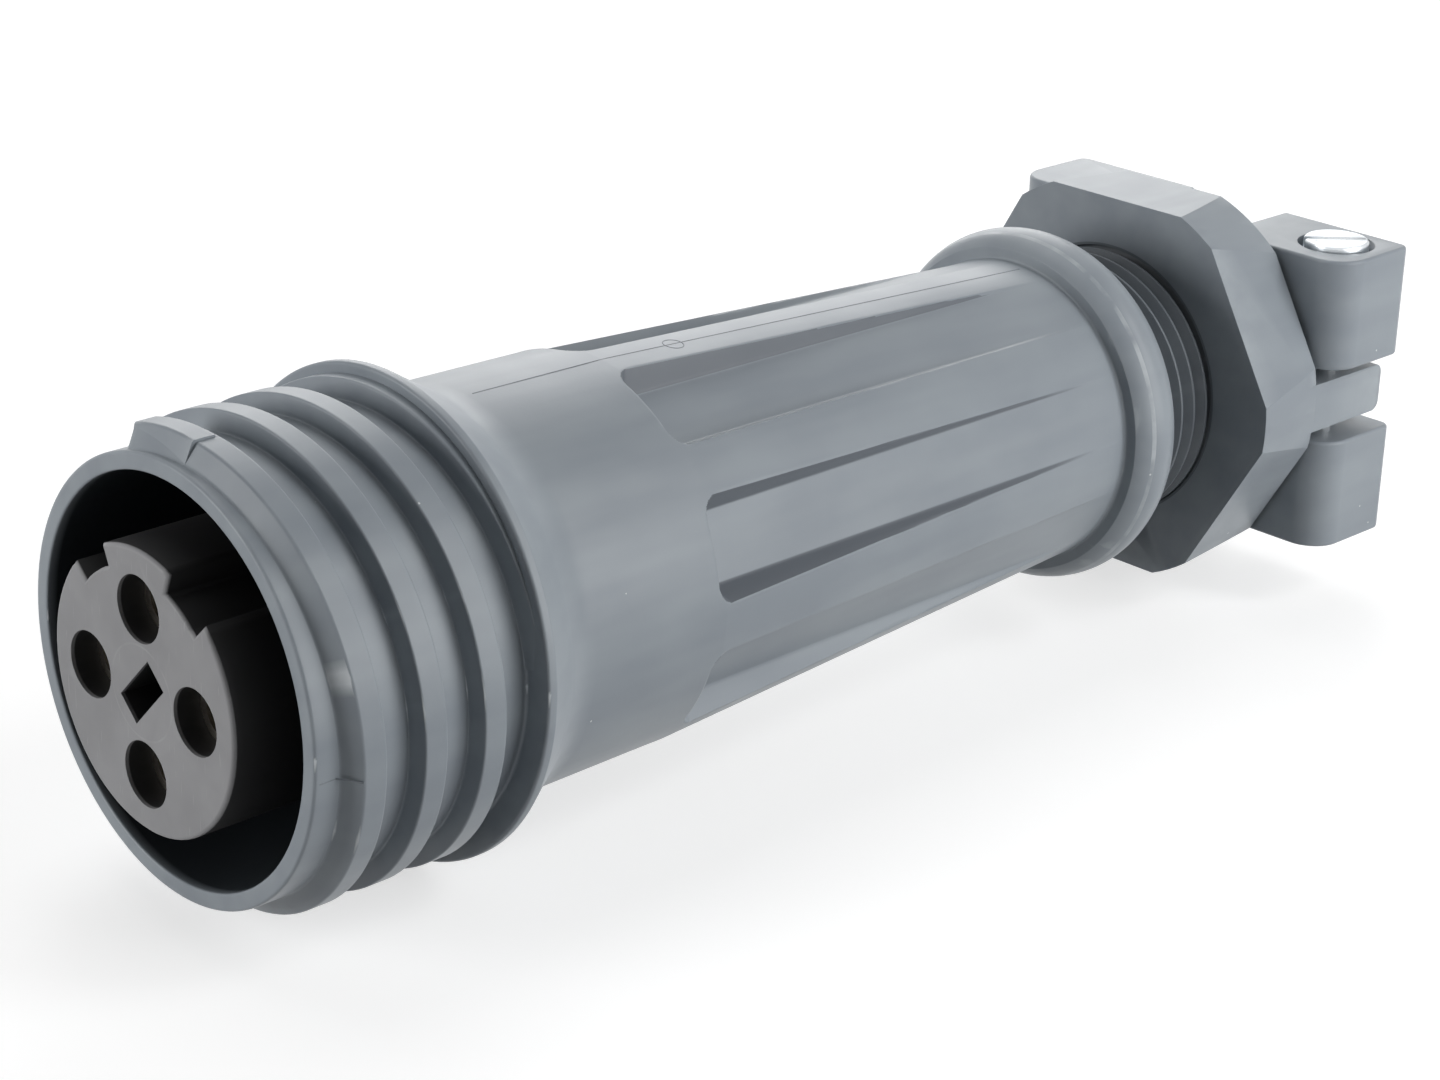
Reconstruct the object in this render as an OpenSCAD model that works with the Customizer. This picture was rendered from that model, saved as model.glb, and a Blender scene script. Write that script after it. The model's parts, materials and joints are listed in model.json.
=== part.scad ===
// Cable coupler with a coarse outside thread, a four-way contact insert and a clamped cable gland.
// The axis is X: mating end towards -X, cable end towards +X, Z up. X = 0 is the front of the collar.
// Angles round the axis count from the -Y side (0) up to the top (90).

/* [Coupling end] */
// outside diameter of the plain collar
collar_d = 22; // [20:0.1:23]
// inside diameter of the collar
collar_bore_d = 20.2; // [18:0.1:21]
// depth of the ring-shaped space round the insert
cavity_depth = 13; // [8:0.5:14]
// crest diameter of the coupling thread
thread_d = 24; // [23:0.1:25]
// travel of the coupling thread in one turn
thread_pitch = 3.46; // [3:0.01:4]
// flat width of the thread's crest
crest_w = 1.25; // [0.8:0.05:1.6]
// angle at which the thread begins
thread_start = 106; // [60:1:140]
// rim diameter of the stop flange behind the thread
flange_d = 25.1; // [24.5:0.1:27]
// position of the flange's front face
flange_x = 12.2; // [11.5:0.1:13]

/* [Contacts] */
// diameter of the insert's round face
insert_d = 14.14; // [13:0.02:15]
// how far the insert stands out of the collar
insert_proud = 1.5; // [0:0.1:3]
// diameter of the circle through the contacts
contact_pcd = 8.3; // [7:0.1:9]
// diameter of the entry holes in the face
contact_hole_d = 3.3; // [2.8:0.1:3.6]
// diameter of the mating pins' sockets
socket_d = 2.5; // [2:0.1:2.8]

/* [Barrel and grip] */
// diameter of the smooth barrel
barrel_d = 21; // [19:0.1:22]
// diameter of the barrel where it meets the rear bead
barrel_rear_d = 17.4; // [17:0.1:20]
// number of sunk grip panels
panel_n = 8; // [4:1:8]
// front end of the grip panels
panel_x = 25; // [22:0.5:32]
// distance of the flat panel floors from the axis at their front end
panel_floor = 9; // [8.6:0.01:9.3]
// angle at which the panel floors sink towards the rear
panel_draft = 0.5; // [0:0.1:1]
// width of a panel floor
panel_floor_w = 3.72; // [2.5:0.02:4.2]
// diameter over the rear bead
bead_d = 20.9; // [19.5:0.1:22]
// position of the bead's middle
bead_x = 60.2; // [59:0.1:61]

/* [Cable gland] */
// diameter of the threaded spigot
spigot_d = 16; // [15:0.1:16]
// end of the spigot
spigot_end = 69; // [67.5:0.1:69.2]
// width across flats of the nut
nut_af = 22; // [20:0.1:24]
// length of the nut
nut_l = 5.3; // [5:0.1:6]
// length of the nut behind the spigot's end
nut_reach = 2.8; // [2.6:0.1:3.2]
// diameter of the cable hole through the seal
cable_d = 8.4; // [5:0.1:9]

/* [Strain relief] */
// length of a jaw along the axis
jaw_l = 6.4; // [5:0.1:7]
// width of a jaw across the axis
jaw_w = 24.8; // [22:0.1:26]
// height of a jaw
jaw_h = 6.6; // [5:0.1:8]
// open gap between the two jaws
jaw_gap = 4.4; // [3.2:0.1:6]
// thickness of the nut's two arms
arm_t = 2.9; // [2:0.1:3]
// distance of a clamp screw from the jaw's end
screw_edge = 3.1; // [2.9:0.1:3.4]
// distance of the clamp screws behind the jaws' front face
screw_inset = 3.4; // [3.2:0.1:3.6]
// diameter of a clamp screw's head
head_d = 3.8; // [3:0.1:4.2]

/* [Hidden] */
$fn = 96;
eps = 0.01;
far = 40;
collar_r = collar_d / 2;
bore_r = collar_bore_d / 2;
thread_r = thread_d / 2;
thread_root_r = collar_r - 0.1;
long_flank_turns = 0.6;
flank_fade = 1.1;
run_out_gap = 0.2;
flank = 0.2;
first_flank = 0.75;
thread_x = 0.95;
thread_steps = 72;
start_block_angle = 22;
start_block_x = 0.55;
start_block_l = 1.65;
start_block_r = thread_r + 0.12;
flange_r = flange_d / 2;
flange_land = 0.5;
flange_cone = 3.1;
run_out_x = flange_x + flange_land;
barrel_r = barrel_d / 2;
barrel_foot_r = barrel_r + 0.1;
barrel_rear_r = barrel_rear_d / 2;
bead_round = 1.55;
bead_r = bead_d / 2;
bead_end = bead_x + 1.4;
taper_x = panel_x + 0.5;
insert_r = insert_d / 2;
partition_r = insert_r + 0.03;
shoulder_x = cavity_depth + 2;
chamber_r = 7.7;
chamber_end = 55;
neck_r = 5.5;
seal_x = 57;
seal_bore_r = 6.1;
panel_slope = 0.77;
panel_first = 16.6;
panel_top = barrel_r + 1;
panel_top_w = panel_floor_w + 2 * panel_slope * (panel_top - panel_floor);
panel_plan_w = 5.5;
panel_corner = 1.2;
panel_end = bead_x - 1.4;
flange_back_x = 19;
insert_flange_r = chamber_r - 0.1;
insert_rear_r = 6.6;
insert_end = 27;
contact_r = contact_pcd / 2;
hole_r = contact_hole_d / 2;
socket_r = socket_d / 2;
socket_depth = 10;
terminal_r = 1.9;
wire_r = 1.1;
wire_depth = 6;
terminal_x = 24;
terminal_screw_r = 0.9;
terminal_screw_foot = 5.2;
terminal_screw_top = 6.5;
keyway_floor = 6;
keyway_end = 12;
keyway_near = [44.5, 69];
keyway_far = [113, 136];
slot_l = 3.3;
slot_w = 1.63;
slot_angle = 46;
slot_depth = 3;
ring_end = 21.5;
ring_r = chamber_r - 0.04;
ring_bore_r = insert_rear_r + 0.05;
cable_r = cable_d / 2;
spigot_r = spigot_d / 2;
seal_end = spigot_end - 0.1;
seal_r = seal_bore_r - 0.04;
nut_bore_r = spigot_r + 0.05;
nut_end = spigot_end + nut_reach;
nut_x = nut_end - nut_l;
nut_wall_x = nut_end - 1;
nut_hole_r = 5;
nut_turn_front = 12;
nut_turn_rear = 11.55;
washer_t = 0.8;
washer_x = nut_wall_x - washer_t;
washer_r = 7;
jaw_clear = 0.3;
jaw_x = nut_end + jaw_clear;
screw_x = jaw_x + screw_inset;
screw_y = jaw_w / 2 - screw_edge;
screw_shank_r = 1;
arm_in = screw_y - 2.3;
arm_out = screw_y + 2.2;
arm_end = screw_x + 2.7;
arm_round = 0.6;
arm_hole_r = 1.25;
jaw_end = jaw_x + jaw_l;
jaw_front_round = 2;
jaw_rear_round = 0.6;
jaw_z = jaw_gap / 2;
jaw_top = jaw_z + jaw_h;
jaw_notch_l = 3.3;
jaw_notch_x = jaw_end - jaw_notch_l;
jaw_notch_w = 6.8;
saddle_r = 5;
head_r = head_d / 2;
head_h = 1.3;
head_proud = 0.3;
head_seat = jaw_top + head_proud - head_h;
head_hole_r = head_r + 0.35;
jaw_hole_r = 1.2;
jaw_thread_r = screw_shank_r + 0.02;
screw_tip = -jaw_top + 2.2;
tapped_end = jaw_top - 0.6;
driver_slot_w = 0.5;
driver_slot_d = 0.6;
driver_slot_turn = -45;

// stands a shape at an angle round the axis: its own X points outwards and its own Z along the axis
module at_angle(angle) {
  rotate([0, 90, 0]) rotate([0, 0, -90 - angle]) children();
}

// turns an outline of [radius, position] round the axis
module turned(outline) {
  rotate([0, 90, 0]) rotate_extrude() polygon(outline);
}

// plain round bar or hole along the axis
module rod(x1, x2, r) {
  turned([[0, x1], [r, x1], [r, x2], [0, x2]]);
}

// tube along the axis
module tube(x1, x2, r_out, r_in) {
  turned([[r_in, x1], [r_out, x1], [r_out, x2], [r_in, x2]]);
}

// part of a ring between two angles
module ring_part(angles, x1, x2, r_in, r_out) {
  at_angle(angles[1]) rotate_extrude(angle = angles[1] - angles[0])
    polygon([[r_in, x1], [r_out, x1], [r_out, x2], [r_in, x2]]);
}

// sloped-sided bar along one sunk panel, with its two front corners rounded
module panel_cut(angle) {
  at_angle(angle) intersection() {
    translate([0, 0, panel_x]) rotate([0, -panel_draft, 0]) linear_extrude(panel_end - panel_x)
      polygon([
        [panel_floor, -panel_floor_w / 2],
        [panel_top, -panel_top_w / 2],
        [panel_top, panel_top_w / 2],
        [panel_floor, panel_floor_w / 2]
      ]);
    rotate([90, 0, 90]) linear_extrude(panel_top) panel_plan();
  }
}

// outline of one panel seen from outside
module panel_plan() {
  inner = panel_plan_w / 2 - panel_corner;
  translate([-panel_plan_w / 2, panel_x + panel_corner]) square([panel_plan_w, panel_end - panel_x]);
  translate([-inner, panel_x]) square([2 * inner, 2 * panel_corner]);
  for (side = [-1, 1]) translate([side * inner, panel_x + panel_corner]) circle(panel_corner);
}

// outer body of the moulding before its hollows are cut
module housing_outer() {
  difference() {
    turned([
      [0, 0],
      [collar_r, 0],
      [collar_r, flange_x],
      [flange_r, flange_x],
      [flange_r, flange_x + flange_land],
      [barrel_foot_r, flange_x + flange_land + flange_cone],
      [barrel_r, taper_x],
      [barrel_rear_r, bead_x],
      [barrel_rear_r, bead_end],
      [0, bead_end]
    ]);
    for (i = [0 : panel_n - 1]) panel_cut(panel_first + i * 360 / panel_n);
  }
  rotate([0, 90, 0]) translate([0, 0, bead_x]) rotate_extrude()
    translate([bead_r - bead_round, 0]) circle(bead_round);
  ring_part(
    [thread_start - start_block_angle, thread_start],
    start_block_x, start_block_x + start_block_l, thread_root_r, start_block_r
  );
}

// moulded housing: collar, stop flange, barrel with grip panels and rear bead
module housing() color("#8b9196") difference() {
  housing_outer();
  rod(-far, cavity_depth, bore_r);
  rod(0, shoulder_x + eps, partition_r);
  rod(shoulder_x, chamber_end, chamber_r);
  rod(chamber_end - eps, seal_x + eps, neck_r);
  rod(seal_x, far * 2, seal_bore_r);
  tube(bead_end, far * 2, far, 0);
}

// position of the crest's front edge after a number of turns
function crest_x(turn) = thread_x + thread_pitch * turn;

// slope length of the front flank: long on the first turn, short on the others
function flank_run(turn) = turn < long_flank_turns
  ? first_flank
  : max(flank, first_flank - (turn - long_flank_turns) * flank_fade);

// one point of the ridge on a radius
function on_axis(x, r, angle) = [x, -r * cos(angle), r * sin(angle)];

// the four corners of the ridge's section after a number of turns
function ridge(turn) = [
  on_axis(crest_x(turn) - flank_run(turn), thread_root_r, thread_start - 360 * turn),
  on_axis(crest_x(turn), thread_r, thread_start - 360 * turn),
  on_axis(min(crest_x(turn) + crest_w, run_out_x - flank), thread_r, thread_start - 360 * turn),
  on_axis(min(crest_x(turn) + crest_w + flank, run_out_x), thread_root_r, thread_start - 360 * turn)
];

// raised helical ridge that takes the coupling nut, running out into the stop flange
module coupling_thread() color("#8b9196") {
  turns = (run_out_x - flank - run_out_gap - thread_x) / thread_pitch;
  count = ceil(turns * thread_steps);
  corners = [for (i = [0 : count]) each ridge(i * turns / count)];
  sides = [
    for (i = [0 : count - 1]) for (j = [0 : 3])
      each [
        [4 * i + j, 4 * i + (j + 1) % 4, 4 * i + 4 + (j + 1) % 4],
        [4 * i + j, 4 * i + 4 + (j + 1) % 4, 4 * i + 4 + j]
      ]
  ];
  ends = [[3, 2, 1, 0], [4 * count, 4 * count + 1, 4 * count + 2, 4 * count + 3]];
  polyhedron(corners, concat(sides, ends));
}

// threaded tube behind the bead, drawn plain at the thread's outside diameter
module rear_spigot() color("#858b90")
  tube(bead_end, spigot_end, spigot_r, seal_bore_r);

// insulating insert with four contact holes, two keyways and a central slot
module contact_insert() color("#4a4c4f") difference() {
  union() {
    rod(-insert_proud, shoulder_x + eps, insert_r);
    rod(shoulder_x, flange_back_x, insert_flange_r);
    rod(flange_back_x - eps, insert_end, insert_rear_r);
  }
  for (i = [0 : 3]) at_angle(i * 90) {
    translate([contact_r, 0, -far]) cylinder(h = 2 * far, r = hole_r);
    translate([contact_r, 0, flange_back_x]) cylinder(h = far, r = terminal_r);
    translate([contact_r, 0, terminal_x]) rotate([0, 90, 0]) cylinder(h = far, r = terminal_screw_r);
  }
  ring_part(keyway_near, -far, keyway_end, keyway_floor, far);
  ring_part(keyway_far, -far, keyway_end, keyway_floor, far);
  at_angle(slot_angle) translate([-slot_l / 2, -slot_w / 2, -far])
    cube([slot_l, slot_w, far - insert_proud + slot_depth]);
}

// socket contact with a wire clamp at its rear
module contact(angle) color("#d9c27a") at_angle(angle) translate([contact_r, 0, 0]) difference() {
  union() {
    cylinder(h = flange_back_x + eps, r = hole_r);
    translate([0, 0, flange_back_x]) cylinder(h = insert_end - flange_back_x, r = terminal_r);
  }
  translate([0, 0, -eps]) cylinder(h = socket_depth + eps, r = socket_r);
  translate([0, 0, insert_end - wire_depth]) cylinder(h = wire_depth + eps, r = wire_r);
  translate([0, 0, terminal_x]) rotate([0, 90, 0]) cylinder(h = far, r = terminal_screw_r);
}

module contact_1() contact(0);
module contact_2() contact(90);
module contact_3() contact(180);
module contact_4() contact(270);

// slotted wire screw in the side of a contact
module terminal_screw(angle) color("#c9ccd0") at_angle(angle) difference() {
  translate([terminal_screw_foot, 0, terminal_x]) rotate([0, 90, 0])
    cylinder(h = terminal_screw_top - terminal_screw_foot, r = terminal_screw_r);
  translate([terminal_screw_top - driver_slot_d, -driver_slot_w / 2, terminal_x - terminal_r])
    cube([driver_slot_d + eps, driver_slot_w, 2 * terminal_r]);
}

module terminal_screw_1() terminal_screw(0);
module terminal_screw_2() terminal_screw(90);
module terminal_screw_3() terminal_screw(180);
module terminal_screw_4() terminal_screw(270);

// ring that holds the insert against the housing's shoulder
module insert_ring() color("#6f757a")
  tube(flange_back_x, ring_end, ring_r, ring_bore_r);

// rubber seal that grips the cable inside the spigot
module cable_seal() color("#2b2c2e")
  tube(seal_x, seal_end, seal_r, cable_r);

// slip washer between the seal and the turning nut
module thrust_washer() color("#c4c8cc")
  tube(washer_x, nut_wall_x, washer_r, nut_hole_r);

// one arm of the nut seen from the side, with rounded rear corners
module arm_side() {
  translate([nut_wall_x, -arm_t / 2]) square([arm_end - arm_round - nut_wall_x, arm_t]);
  translate([nut_wall_x, -arm_t / 2 + arm_round]) square([arm_end - nut_wall_x, arm_t - 2 * arm_round]);
  for (side = [-1, 1]) translate([arm_end - arm_round, side * (arm_t / 2 - arm_round)]) circle(arm_round);
}

// hexagon nut of the gland with the two arms that carry the strain relief
module gland_nut() color("#868c91") difference() {
  union() {
    intersection() {
      rotate([0, 90, 0]) translate([0, 0, nut_x]) linear_extrude(nut_end - nut_x)
        polygon([for (i = [0 : 5]) nut_af / sqrt(3) * [cos(30 + 60 * i), sin(30 + 60 * i)]]);
      turned([[0, nut_x], [nut_turn_front, nut_x], [nut_turn_rear, nut_end], [0, nut_end]]);
    }
    for (side = [-1, 1]) translate([0, side > 0 ? arm_out : -arm_in, 0])
      rotate([90, 0, 0]) linear_extrude(arm_out - arm_in) arm_side();
  }
  rod(0, nut_wall_x, nut_bore_r);
  rod(0, far * 3, nut_hole_r);
  for (side = [-1, 1]) translate([screw_x, side * screw_y, -far]) cylinder(h = 2 * far, r = arm_hole_r);
}

// outline of a jaw seen from above
module jaw_plan() difference() {
  union() {
    translate([jaw_x + jaw_front_round, -jaw_w / 2]) square([jaw_l - jaw_front_round - jaw_rear_round, jaw_w]);
    translate([jaw_x, -jaw_w / 2 + jaw_front_round]) square([jaw_l, jaw_w - 2 * jaw_front_round]);
    for (side = [-1, 1]) {
      translate([jaw_x + jaw_front_round, side * (jaw_w / 2 - jaw_front_round)]) circle(jaw_front_round);
      translate([jaw_end - jaw_rear_round, side * (jaw_w / 2 - jaw_rear_round)]) circle(jaw_rear_round);
      translate([jaw_x + jaw_front_round, side > 0 ? 0 : -jaw_w / 2 + jaw_rear_round])
        square([jaw_l - jaw_front_round, jaw_w / 2 - jaw_rear_round]);
    }
  }
  translate([jaw_notch_x, -jaw_notch_w / 2]) square([jaw_l, jaw_notch_w]);
}

// half clamp: a saddle for the cable, a sunk seat for one screw's head, and a blind hole for the other's tip
module half_clamp() difference() {
  translate([0, 0, jaw_z]) linear_extrude(jaw_h) jaw_plan();
  rod(0, far * 3, saddle_r);
  translate([screw_x, -screw_y, 0]) {
    cylinder(h = far, r = jaw_hole_r);
    translate([0, 0, head_seat]) cylinder(h = far, r = head_hole_r);
  }
  translate([screw_x, screw_y, 0]) cylinder(h = tapped_end, r = jaw_thread_r);
}

// slotted clamp screw, driven in from above
module slotted_screw() translate([screw_x, -screw_y, 0]) difference() {
  union() {
    translate([0, 0, screw_tip]) cylinder(h = head_seat - screw_tip + eps, r = screw_shank_r);
    translate([0, 0, head_seat]) cylinder(h = head_h, r = head_r);
  }
  rotate([0, 0, driver_slot_turn]) translate([-head_d, -driver_slot_w / 2, head_seat + head_h - driver_slot_d])
    cube([2 * head_d, driver_slot_w, driver_slot_d + eps]);
}

module upper_jaw() color("#8b9196") half_clamp();

// the same half clamp turned over
module lower_jaw() color("#8b9196") rotate([180, 0, 0]) half_clamp();

module clamp_screw_1() color("#dfe3e6") slotted_screw();

// the far screw enters the lower half clamp from below
module clamp_screw_2() color("#dfe3e6") rotate([180, 0, 0]) slotted_screw();

housing();
coupling_thread();
rear_spigot();
contact_insert();
contact_1();
contact_2();
contact_3();
contact_4();
terminal_screw_1();
terminal_screw_2();
terminal_screw_3();
terminal_screw_4();
insert_ring();
cable_seal();
thrust_washer();
gland_nut();
upper_jaw();
lower_jaw();
clamp_screw_1();
clamp_screw_2();
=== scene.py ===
"""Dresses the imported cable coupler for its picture.

Rounded mouldings, both threads, zinc screws, flash lines, and a finish for every piece.
"""
import json
import math

import bmesh
import bpy
from mathutils import Matrix, Vector


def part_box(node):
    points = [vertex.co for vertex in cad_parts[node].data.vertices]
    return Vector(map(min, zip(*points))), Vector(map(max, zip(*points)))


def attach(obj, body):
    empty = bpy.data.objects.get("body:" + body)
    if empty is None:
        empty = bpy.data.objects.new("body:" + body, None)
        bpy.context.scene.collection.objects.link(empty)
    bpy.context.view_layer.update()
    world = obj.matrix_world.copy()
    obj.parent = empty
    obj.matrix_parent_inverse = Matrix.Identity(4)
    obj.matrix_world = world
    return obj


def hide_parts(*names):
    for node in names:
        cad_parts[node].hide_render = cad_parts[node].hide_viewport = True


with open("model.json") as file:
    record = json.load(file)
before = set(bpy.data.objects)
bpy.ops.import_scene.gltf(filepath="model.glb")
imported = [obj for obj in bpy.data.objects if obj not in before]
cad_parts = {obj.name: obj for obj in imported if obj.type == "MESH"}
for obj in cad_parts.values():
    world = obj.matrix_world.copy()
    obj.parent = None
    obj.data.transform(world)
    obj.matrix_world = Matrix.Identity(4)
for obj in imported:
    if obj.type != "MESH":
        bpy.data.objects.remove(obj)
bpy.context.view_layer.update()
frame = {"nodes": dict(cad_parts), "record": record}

MM = 0.001
nodes = frame["nodes"]
scene = bpy.context.scene

# The axis is X. Angles round it count in degrees from the -Y side (0) up to the top (90).
FLANGE_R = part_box("housing")[1].y
BEAD_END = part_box("housing")[1].x
SPIGOT_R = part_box("rear_spigot")[1].z
SPIGOT_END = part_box("rear_spigot")[1].x

# Collar, flange and barrel
COLLAR_R = 11.0 * MM
BORE_R = 10.1 * MM
CAVITY_END = 13.0 * MM
FLANGE_X = 12.2 * MM
FLANGE_LAND = 0.5 * MM
CONE_L = 3.1 * MM
CONE_FOOT_R = 10.6 * MM
BARREL_R = 10.5 * MM
TAPER_X = 25.5 * MM
TAPER_END_X = 60.2 * MM
REAR_R = 8.7 * MM
BEAD_FOOT_X = 57.9 * MM
BEAD_X = 59.6 * MM
BEAD_R = 10.3 * MM
BEAD_ARC = 2.1 * MM
BEAD_BACK_X = 61.0 * MM
CHAMBER_R = 7.7 * MM
CHAMBER_X = 15.0 * MM
CHAMBER_END = 55.0 * MM
PARTITION_R = 7.1 * MM
NECK_R = 5.5 * MM
SEAL_X = 57.0 * MM
SEAL_R = 6.1 * MM

# Roundings of the housing's outline, from the lip backwards and through the inside to the bore
BORE_EDGE = 0.12 * MM
LIP_EDGE = 0.16 * MM
FLANGE_FOOT = 0.15 * MM
FLANGE_EDGE = 0.16 * MM
CONE_EDGE = 0.2 * MM
CONE_HOLLOW = 3.5 * MM
BEAD_FOOT = 0.12 * MM
BEAD_EDGE = 0.07 * MM
REAR_EDGE = 0.1 * MM
CHAMBER_REAR = 0.3 * MM
CHAMBER_FRONT = 0.2 * MM
PARTITION_EDGE = 0.1 * MM
CAVITY_CORNER = 0.3 * MM

# Rows of the housing's mesh: close together where the panels begin, and along the bead's arc
ROW_STEP = 0.08 * MM
BEAD_STEPS = 14
BEAD_ARC_AFTER_FOOT = 0.04 * MM
BEAD_BACK_DRAFT = 0.02 * MM

# Sunk grip panels
PANEL_N = 8
PANEL_FIRST = 16.6
PANEL_X = 25.0 * MM
PANEL_FLOOR = 9.0 * MM
PANEL_DRAFT = math.tan(math.radians(0.5))
PANEL_FLOOR_W = 3.72 * MM
PANEL_SLOPE = 0.77
PANEL_FRONT_SLOPE = 0.25
PANEL_PLAN_W = 5.5 * MM
PANEL_CORNER = 1.2 * MM
PANEL_EDGE = 0.1 * MM

# Coupling thread
CREST_R = 12.0 * MM
PITCH = 3.46 * MM
CREST_W = 1.25 * MM
THREAD_X = 0.95 * MM
THREAD_START = 106.0
FLANK = 0.2 * MM
FIRST_FLANK = 0.62 * MM
THREAD_EDGE = 0.1 * MM
RUN_OUT_X = FLANGE_X + FLANGE_LAND
RUN_OUT_GAP = 0.02 * MM
BLOCK_ANGLES = (84.0, 106.0)
BLOCK_X = 0.55 * MM
BLOCK_L = 1.65 * MM
BLOCK_SLOPE = 0.42 * MM
BLOCK_R = 12.12 * MM
BLOCK_FLANK = 0.02 * MM
BLOCK_EDGE = 0.1 * MM
BLOCK_FILLET = 0.08 * MM

# Gland thread behind the bead
GLAND_PITCH = 1.1 * MM
GLAND_ROOT_R = 7.35 * MM
GLAND_X = 62.3 * MM
GLAND_START = 190.0
GLAND_CREST_W = 0.14 * MM
GLAND_FLANK = 0.36 * MM
GLAND_EDGE = 0.04 * MM
GLAND_TAIL = 0.7 * MM
GLAND_LAP = 0.1 * MM
GLAND_END_EDGE = 0.3 * MM
GLAND_BORE_EDGE = 0.2 * MM

# Slip washer inside the nut
WASHER_HOLE_R = 5 * MM
WASHER_EDGE = 0.1 * MM
WASHER_GAP = 0.03 * MM

# Clamp screws, and how far off their middle a jaw's or a screw's edges are rounded, all in millimetres
SCREW_X = 75.5
SCREW_Y = 9.3
JAW_HOLE_R = 2.5
SCREW_SHANK_R = 1.8
SCREW_HEAD_Z = 9.0

# Where the finish of the plastic changes along the part, and where its painted highlight and painted shade
# lie
MATING_END = 20 * MM
HIGHLIGHT_LINE_X = 58.8 * MM
HIGHLIGHT_LINE_HALF_W = 0.12 * MM
HIGHLIGHT_LINE_R = 9.9 * MM
PANELS_MIDDLE = 41.3 * MM
PANELS_HALF_L = 16.4 * MM
SHADE_OFF_ABOVE = 5 * MM
SHADE_OFF_BELOW = -3 * MM
GROOVE_MIDDLE = 64 * MM
GROOVE_HALF_L = 3 * MM
GROOVE_R = 8.2 * MM
WITNESS_HALF_W = 0.05 * MM

# Painted shade inside the mating end, in millimetres: how far out, where it begins and where it is full
BORE_SHADE = (10.25, 0.12, 0.6)
INSERT_SHADE = (30, -1.34, -1.27)

# Camera that took the picture: a plain lens, in the part's own frame
IMAGE_W = 1440
FOCAL_PX = 3216.373
SENSOR_W = 36.0
CAMERA_PLACE = Vector((-75.768, -113.484, 62.388)) * MM
CAMERA_AZIMUTH = -44.337
CAMERA_ELEVATION = 22.122
CAMERA_ROLL = 1.536


def linear(hex_colour):
    """Turns an sRGB hex colour into linear RGBA."""
    out = []
    for i in (1, 3, 5):
        c = int(hex_colour[i:i + 2], 16) / 255
        out.append(c / 12.92 if c <= 0.04045 else ((c + 0.055) / 1.055) ** 2.4)
    return (*out, 1.0)


def add(tree, kind, inputs=None, **settings):
    """Adds one node, sets its properties, and fills its inputs with values or with other nodes' outputs."""
    node = tree.nodes.new(kind)
    for name, value in settings.items():
        setattr(node, name, value)
    for key, value in (inputs or {}).items():
        if isinstance(value, bpy.types.Node):
            value = value.outputs[0]
        if isinstance(value, bpy.types.NodeSocket):
            tree.links.new(value, node.inputs[key])
        else:
            node.inputs[key].default_value = value
    return node


def new_material(name):
    """An empty material, and its node tree to build in."""
    material = bpy.data.materials.new(name)
    material.use_nodes = True
    material.node_tree.nodes.clear()
    return material, material.node_tree


MIX = "ShaderNodeMix"
MATH = "ShaderNodeMath"
NOISE = "ShaderNodeTexNoise"
SPREAD = "ShaderNodeMapRange"


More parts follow.
